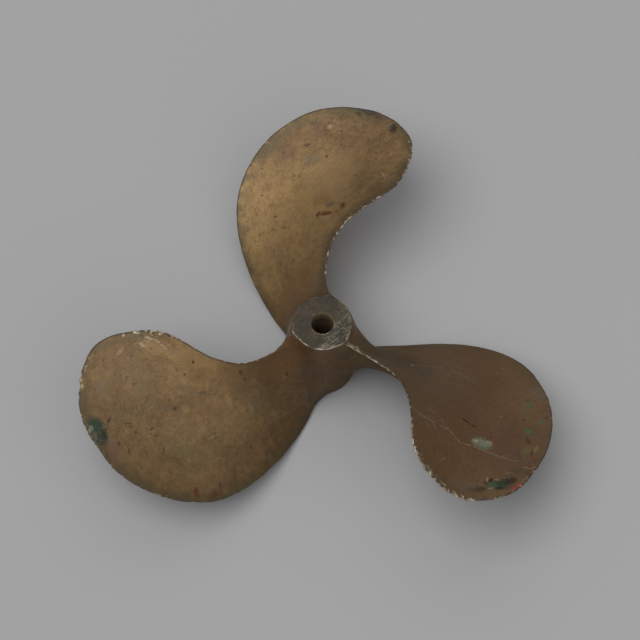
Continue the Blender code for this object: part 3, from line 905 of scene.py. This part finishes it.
def wornBronze(markLayers, strokeLayers):
    material = bpy.data.materials.new("worn_cast_bronze")
    material.use_nodes = True
    tree = material.node_tree
    tree.nodes.clear()
    sheet = Sheet(tree)
    node, calc, most, rise, mixColour = sheet.node, sheet.calc, sheet.most, sheet.rise, sheet.mixColour
    where = node("ShaderNodeTexCoord")["Object"]
    axes = node("ShaderNodeSeparateXYZ", None, {0: where})
    x, y, z = axes["X"], axes["Y"], axes["Z"]

    def field(name, output="Fac"):
        return node("ShaderNodeAttribute", {"attribute_name": name})[output]

    def clouds(scale, detail, roughness, at=where):
        values = {"Vector": at, "Scale": scale, "Detail": detail, "Roughness": roughness}
        return node("ShaderNodeTexNoise", None, values)["Fac"]

    def dots(scale, size, share):
        # small pits of uneven shape and size, in a share of the cells
        cell = node("ShaderNodeTexVoronoi", {"feature": "F1"}, {"Vector": where, "Scale": scale})
        lot = node("ShaderNodeSeparateColor", None, {0: cell["Color"]})
        away = cell["Distance"] / (0.35 + 0.65 * lot[2])
        away = away + (fine * 2.4 + gritty * 1.2) * size
        return rise(away, size, size * 0.5) * calc("LESS_THAN", lot[0], share) * (0.4 + 0.6 * lot[1])

    def streaks(turn, scale, length):
        values = {"Vector": where, "Rotation": (0, 0, math.radians(turn)), "Scale": (length, 1, 3)}
        at = node("ShaderNodeMapping", {"vector_type": "TEXTURE"}, values)["Vector"]
        return clouds(scale, 2, 0.6, at)

    def coated(ground, *coats):
        # tones laid over the ground one after another: share, tone
        for share, name in coats:
            ground = mixColour(share, ground, tone(name))
        return ground

    def markAway(name):
        # how far from the middle of the nearest mark of this layer, 1 at its outline, and its strength
        parts = node("ShaderNodeSeparateXYZ", None, {0: field(name, "Vector")})
        return calc("SQRT", parts["X"] * parts["X"] + parts["Y"] * parts["Y"]), parts["Z"]

    # where it is on the object
    out = calc("SQRT", x * x + y * y)  # from the shaft axis
    face, edgeGap = field("drivingFace"), field("edgeGap")
    turns = [bladeSizes["First Blade Angle"] + math.radians(120) * index for index in range(3)]
    outwards = [x * math.cos(turn) + y * math.sin(turn) for turn in turns]
    firstBlade, secondBlade, thirdBlade = (rise(along, 0.015, 0.075) for along in outwards)

    # the cast and tarnished ground, with painted light and shade on whole blades
    cloudy = [clouds(*sizes) for sizes in finish["clouds"].values()]
    large, medium, small, grain, patches, film, flakes, veined, uneven = cloudy
    lumpy, fine, gritty = medium - 0.5, small - 0.5, grain - 0.5
    mottled = (large - 0.5 + lumpy) * 0.7 + fine * 0.75 + gritty * 0.3
    # broad patches: partly wear and tarnish, partly painted light and shade
    rubbed = field("rubbed") * face
    level = 0.43 + mottled * (1 - thirdBlade * 0.55 - secondBlade * 0.3)
    # the first blade lighter and the third darker: partly their own tone, partly painted light and shade
    level = level + firstBlade * 0.15 - thirdBlade * (0.12 - rise(x, 0.15, 0.22) * 0.12)
    # darker towards the hub and towards the first blade's tip
    level = level - rise(out, 0.13, 0.03) * 0.06 - rise(y, 0.19, 0.25) * 0.14
    # painted highlight on the left of the first blade's driving face
    level = level + face * firstBlade * rise(x, 0.0, -0.07) * 0.24 + rubbed
    stops = [(place, tone(name)) for place, name in finish["ground"]]
    ground = node("ShaderNodeValToRGB", {"stops": stops}, {0: level})["Color"]
    pale = rise(film * 0.5 + medium * 0.5, 0.52, 0.58) * (secondBlade * 0.11 + firstBlade * 0.10) * face
    filmed = rise(edgeGap, 0.016, 0.001) * rise(film, 0.30, 0.54)
    ground = coated(
        ground,
        (thirdBlade * rise(out, 0.07, 0.17) * 0.55, "redBrown"),
        (rise(out, 0.10, 0.05) * 0.2, "redBrown"),
        (rise(patches, 0.50, 0.70) * (0.4 - thirdBlade * 0.3 - firstBlade * 0.22), "greenish"),
        (rise(patches, 0.46, 0.32) * 0.35, "brown"),
        (pale, "plug"),
        (filmed * (0.7 - thirdBlade * 0.35 - most(rubbed, 0) * 4), "olive"),
    )

    # pits, blotches, stained lines and fine scratches
    pits, specks = dots(*finish["pits"]), dots(*finish["specks"])
    blotches = rise(film * 0.5 + small * 0.5, 0.56, 0.62)
    veins = rise(calc("ABSOLUTE", veined - 0.5), 0.030, 0.008) * rise(film, 0.50, 0.62)
    scratches = most(*[rise(streaks(*sizes), 0.66, 0.76) for sizes in finish["scratches"]])
    scratches = scratches * rise(patches, 0.46, 0.58)
    pitTone = mixColour(rise(medium, 0.44, 0.58), tone("black"), tone("rust"))
    ground = mixColour(most(pits * 0.75, specks * 0.5), ground, pitTone)
    ground = coated(ground, (most(blotches * 0.35, veins * 0.35), "umber"), (scratches * 0.22, "bare"))

    # the marks that this one carries
    ragged = fine * 1.2 + gritty * 1.3
    for layer in range(markLayers):
        away, strength = markAway(f"mark{layer}")
        mask = rise(away + ragged, 1.25, 0.55) * strength * (0.6 + small * 0.8)
        ground = mixColour(calc("MINIMUM", mask, 1.0), ground, field(f"markTone{layer}", "Color"))
    # the strokes: scratches and cuts, with painted highlights among them
    scratchesAndHighlights = 0.0
    for layer in range(strokeLayers):
        away, strength = markAway(f"stroke{layer}")
        mask = rise(away, 1.7, 0.5) * strength * rise(small, 0.32, 0.56)
        ground = mixColour(mask, ground, field(f"strokeTone{layer}", "Color"))
        scratchesAndHighlights = most(mask, scratchesAndHighlights)

    # edges darkened partly by dirt and partly by painted shade on their rounded noses, with bright chips
    chips, uneven = field("edgeChips"), (uneven - 0.5) * 0.0022
    rimmed = edgeGap * (1 + rise(out, 0.075, 0.035) * 3)  # the ridge at the root spreads the same gap wider
    edgeDirtAndShade = rise(rimmed + uneven * 0.4, 0.0022, 0.0009) * (0.35 + rise(film, 0.30, 0.50) * 0.65)
    worn = rise(rimmed + uneven * 0.7, 0.0010, 0.0003) * rise(flakes + chips * 0.18, 0.56, 0.66)
    flaked = rise(rimmed + uneven * 3, 0.0050, 0.0015) * rise(flakes + chips * 0.14, 0.65, 0.71)
    worn = most(worn, flaked * chips * face)
    edgeDirtAndShadeTone = mixColour(0.3 + thirdBlade * 0.4, tone("umber"), tone("black"))
    ground = mixColour(edgeDirtAndShade * 0.75, ground, edgeDirtAndShadeTone)
    ground = coated(ground, (worn * (0.45 + rise(flakes, 0.50, 0.64) * 0.4), "bare"))

    # the hub's barrel, its faced ends and the bore
    length, widest = hubSizes["length"], hubSizes["widest"]
    barrel = rise(out, widest + 0.001, widest - 0.003)
    ground = coated(ground, (barrel * rise(film, 0.34, 0.56) * 0.35, "pink"))
    endFace = most(rise(z, length - 0.0007, length - 0.0001), rise(z, 0.0006, 0.0001))
    endFace = rise(out, widest + 0.005, widest + 0.002) * endFace
    scoured = rise(x * 0.8 - y * 0.3 + (film - 0.5) * 0.04, 0.002, 0.018)
    crossed, leaning, broad = [streaks(*sizes) for sizes in finish["hubScratches"]]
    hubStreaks = most(rise(crossed, 0.52, 0.68), rise(leaning, 0.56, 0.70))
    hubScratches = hubStreaks * (0.22 + scoured * 0.78) * rise(film, 0.34, 0.56)
    turned = coated(
        tone("hubFace"),
        (rise(film, 0.44, 0.64) * 0.6, "umber"),
        (rise(medium, 0.52, 0.66) * 0.3, "brown"),
        (hubScratches * 0.4, "hubStreak"),
        (rise(broad, 0.52, 0.60) * scoured * 0.28, "hubStreak"),
        (rise(grain * 0.5 + small * 0.5, 0.53, 0.61) * scoured * 0.65, "hubStreak"),
        (specks * 0.4, "black"),
    )
    ground = mixColour(endFace, ground, turned)
    # bright worn rims, stronger on their lower side: partly wear, partly a painted highlight
    below = 0.30 + 0.70 * rise(x * 0.4 - y, -0.012, 0.012)
    rimWearAndHighlight = rise(field("rimGap") + uneven * 0.5, 0.0007, 0.0002) * rise(film, 0.36, 0.58) * below
    ground = coated(ground, (rimWearAndHighlight * (0.2 + rise(flakes, 0.46, 0.62) * 0.35), "bare"))
    inside = rise(out, 0.0160, 0.0150) * (1 - endFace)  # just outside the bore's wall
    ground = mixColour(inside, ground, coated(tone("bore"), (rise(film, 0.4, 0.65) * 0.5, "black")))

    # how it shines, and its relief
    bright = most(worn, rimWearAndHighlight, scratches * 0.35, scratchesAndHighlights * 0.5)
    dull = most(blotches * 0.4, pits, edgeDirtAndShade)
    metallic = finish["metallic"] + (bright - dull + lumpy) * 0.4 - inside * 0.6 - endFace * 0.25
    roughness = finish["roughness"] + lumpy * 0.25 + (gritty + dull) * 0.15 - bright * 0.12
    roughness = roughness + rise(outwards[2], 0.010, 0.035) * rise(out, 0.13, 0.08) * 0.25
    size = finish["relief"]
    relief = lumpy * size["medium"] + fine * size["small"] + gritty * size["grain"]
    relief = relief * (1 - endFace * 0.85) - pits * size["pits"] - specks * size["specks"]
    relief = relief - scratches * size["scratches"] - scratchesAndHighlights * size["cuts"]
    relief = relief - endFace * hubScratches * size["hubScratches"]
    bump = node("ShaderNodeBump", None, {"Strength": 1.0, "Distance": 1.0, "Height": relief})["Normal"]
    surface = {
        "Base Color": ground,
        "Metallic": calc("MINIMUM", most(metallic, 0.0), 1.0),
        "Roughness": calc("MINIMUM", most(roughness, 0.2), 0.9),
        "Normal": bump,
    }
    shader = node("ShaderNodeBsdfPrincipled", None, surface)
    result = node("ShaderNodeOutputMaterial")
    tree.links.new(shader.made.outputs[0], result.made.inputs[0])
    print("finish:", len(tree.nodes), "nodes")
    return material


def turnedBy(turn):
    return math.cos(math.radians(turn)), math.sin(math.radians(turn))


def spotFrame(spot, places):
    # where the places are in the spot's own frame, 1 at its outline
    middleX, middleY, halfLength, halfWidth, turn = spot[:5]
    c, s = turnedBy(turn)
    dx, dy = places[:, 0] - middleX, places[:, 1] - middleY
    along, across = (dx * c + dy * s) / halfLength, (dy * c - dx * s) / halfWidth
    away = np.hypot(along, across)
    beyond = np.hypot(dx, dy) * (1 - 1 / np.maximum(away, 1e-6))  # mm outside the outline
    return along, across, beyond


def strokeFrame(stroke, places):
    # the same along a line of straight runs
    points, halfWidth = stroke[:2]
    best = None
    for (ax, ay), (bx, by) in zip(points, points[1:]):
        length = math.hypot(bx - ax, by - ay)
        dx, dy = (bx - ax) / length, (by - ay) / length
        run = (places[:, 0] - ax) * dx + (places[:, 1] - ay) * dy
        off = (places[:, 1] - ay) * dx - (places[:, 0] - ax) * dy
        past = np.maximum(np.maximum(-run, run - length), 0)
        found = np.stack((off / halfWidth, past / halfWidth, np.hypot(off, past) - halfWidth))
        best = found if best is None else np.where(found[2] < best[2], found, best)
    return best


def outlinePoints(item):
    # points round a spot, or along a stroke
    if isinstance(item[0], tuple):
        ends = np.array(item[0], float)
        shares = np.linspace(0, 1, 12)[:, None]
        return np.concatenate([a + (b - a) * shares for a, b in zip(ends, ends[1:])])
    middleX, middleY, halfLength, halfWidth, turn = item[:5]
    c, s = turnedBy(turn)
    around, margin = np.linspace(0, 2 * math.pi, 24, endpoint=False), 1.2
    u, v = np.cos(around) * halfLength * margin, np.sin(around) * halfWidth * margin
    return np.stack((middleX + u * c - v * s, middleY + u * s + v * c), -1)


def layered(items, frameOf, clearance):
    # sorts the marks into layers in which no two are near each other, each above what it covers
    def isClear(item, layer, gap):
        return all(frameOf(other, outlinePoints(item))[2].min() > gap for other in layer)

    layers = []
    for item in items:
        start = 1 + max((n for n, layer in enumerate(layers) if not isClear(item, layer, 0)), default=-1)
        roomy = [layer for layer in layers[start:] if isClear(item, layer, clearance)]
        if roomy:
            roomy[0].append(item)
        else:
            layers.append([item])
    return layers


def paintFields(mesh, name, layers, frameOf, facing):
    # each layer as a place and a tone on every point, for the finish to draw sharp marks from
    places = flatPlaces(mesh)
    for number, layer in enumerate(layers):
        frames = np.stack([np.stack(frameOf(item, places)) for item in layer])
        closest = frames[:, 2].argmin(0)
        picked = frames[closest, :, np.arange(len(places))]
        strength = np.array([item[-1] for item in layer])[closest] * facing
        strength *= picked[:, 2] < marks["fieldReach"]
        vectors = np.stack((picked[:, 0], picked[:, 1], strength), -1).astype(np.float32)
        tones = np.array([tone(item[-2]) for item in layer], np.float32)[closest]
        writeField(mesh, f"{name}{number}", vectors.ravel(), "FLOAT_VECTOR", "vector")
        writeField(mesh, f"{name}Tone{number}", tones.ravel(), "FLOAT_COLOR", "color")


studio = {
    "floorReach": 9,
    "floorTone": (0.42, 0.42, 0.425, 1),
    "floorRoughness": 0.8,
    "airTone": (1, 1, 1, 1),
    "air": 0.200,
    "aim": (0, 0, 0.05),
    # name, place, size, power of each soft light
    "lights": (
        ("key", (-3.21, -1.17, 9.40), 9.0, 548),
        ("fill_right", (2.27, -2.27, 3.83), 6.5, 60),
        ("fill_top", (0.0, 3.21, 3.83), 4.5, 29),
    ),
}
cameraFit = {
    "tilt": math.radians(23.57),  # off the shaft axis, towards the foot of the picture
    "turn": math.radians(5.678),
    "middle": 0.0837,  # height over the floor
    "across": 0.0023,
    "up": -0.0114,
    "distance": 2.325,
    "sensor": 36,
    "lens": 133.08,
    "clip": (0.05, 50),
}


def softLight(name, place, size, power):
    light = bpy.data.lights.new(name, "AREA")
    light.shape, light.size, light.energy = "DISK", size, power
    lamp = newObject(name, light)
    lamp.location = place
    lamp.rotation_euler = (Vector(studio["aim"]) - lamp.location).to_track_quat("-Z", "Y").to_euler()


def makeStudio():
    mesh, half = bpy.data.meshes.new("studio_floor"), studio["floorReach"]
    corners = [(-half, -half, 0), (half, -half, 0), (half, half, 0), (-half, half, 0)]
    mesh.from_pydata(corners, [], [(0, 1, 2, 3)])
    floor = newObject("studio_floor", mesh)
    paint = bpy.data.materials.new("pale_floor")
    paint.use_nodes = True
    shader = paint.node_tree.nodes["Principled BSDF"]
    shader.inputs["Base Color"].default_value = studio["floorTone"]
    shader.inputs["Roughness"].default_value = studio["floorRoughness"]
    mesh.materials.append(paint)
    world = bpy.data.worlds.new("studio_air")
    bpy.context.scene.world = world
    world.use_nodes = True
    air = world.node_tree.nodes["Background"]
    air.inputs["Color"].default_value = studio["airTone"]
    air.inputs["Strength"].default_value = studio["air"]
    for light in studio["lights"]:
        softLight(*light)
    print("studio: floor and", len(studio["lights"]), "soft lights")


def makeCamera():
    tilt, spin = cameraFit["tilt"], Matrix.Rotation(cameraFit["turn"], 3, "Z")
    right = spin @ Vector((1, 0, 0))
    up = spin @ Vector((0, math.cos(tilt), math.sin(tilt)))
    back = spin @ Vector((0, -math.sin(tilt), math.cos(tilt)))
    place = Vector((0, 0, cameraFit["middle"])) + back * cameraFit["distance"]
    place -= right * cameraFit["across"] + up * cameraFit["up"]
    data = bpy.data.cameras.new("camera")
    data.sensor_width, data.lens = cameraFit["sensor"], cameraFit["lens"]
    data.clip_start, data.clip_end = cameraFit["clip"]
    camera = newObject("camera", data)
    camera.matrix_world = Matrix.Translation(place) @ Matrix((right, up, back)).transposed().to_4x4()
    bpy.context.scene.camera = camera
    print("camera:", cameraFit["distance"], "m away")


markLayers = layered(marks["spots"], spotFrame, marks["spotClearance"])
strokeLayers = layered(marks["strokes"], strokeFrame, marks["strokeClearance"])
print("marks in", len(markLayers), "layers, strokes in", len(strokeLayers))
bronze = wornBronze(len(markLayers), len(strokeLayers))
bladeMesh = makeBlades(bronze)
hub = hubBlank()
joinBlades(hub, bladeMesh)
mesh = finishMesh(hub, bladeMesh)
bpy.data.objects.remove(hub)
facing = readField(mesh, "drivingFace")
paintFields(mesh, "mark", markLayers, spotFrame, facing)
paintFields(mesh, "stroke", strokeLayers, strokeFrame, facing)
mesh.materials.clear()
mesh.materials.append(bronze)
propeller = newObject("worn_propeller", mesh)
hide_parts("propeller_casting")
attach(propeller, "root")
makeStudio()
makeCamera()
bpy.context.scene.view_settings.view_transform = "Standard"
